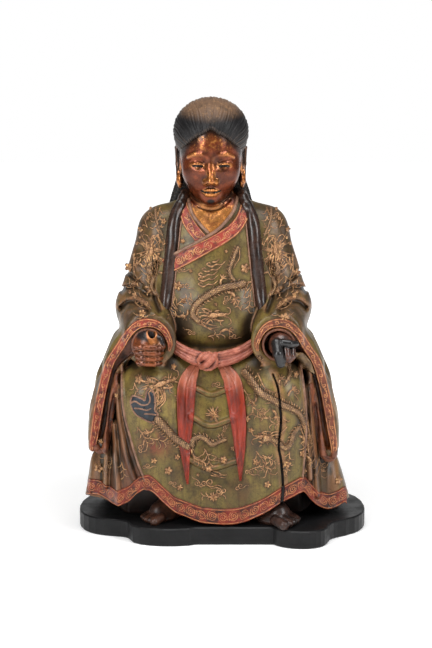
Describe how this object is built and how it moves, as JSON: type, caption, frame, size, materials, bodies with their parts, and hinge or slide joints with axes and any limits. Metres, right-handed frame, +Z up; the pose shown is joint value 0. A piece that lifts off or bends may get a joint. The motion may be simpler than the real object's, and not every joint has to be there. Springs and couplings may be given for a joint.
{
  "type": "seated deity wood carving",
  "caption": "Seated robed deity with long hair, sashed dragon robe and bare feet, carved in wood, lacquered and gilt, standing on a low black lobed plinth",
  "frame": {"origin": "centre of the underside of the bounding box, under the plinth", "axes": "+Z up, the figure faces -Y, +X to the viewer's right"},
  "size_m": [0.464, 0.3, 0.6888],
  "materials": {
    "robe_lacquer": "aged olive lacquer over carved wood, with red borders and gilt relief",
    "plinth_lacquer": "satin black lacquer"
  },
  "bodies": {
    "root": {"figure": "robe_lacquer", "plinth": "plinth_lacquer"}
  },
  "joints": []
}
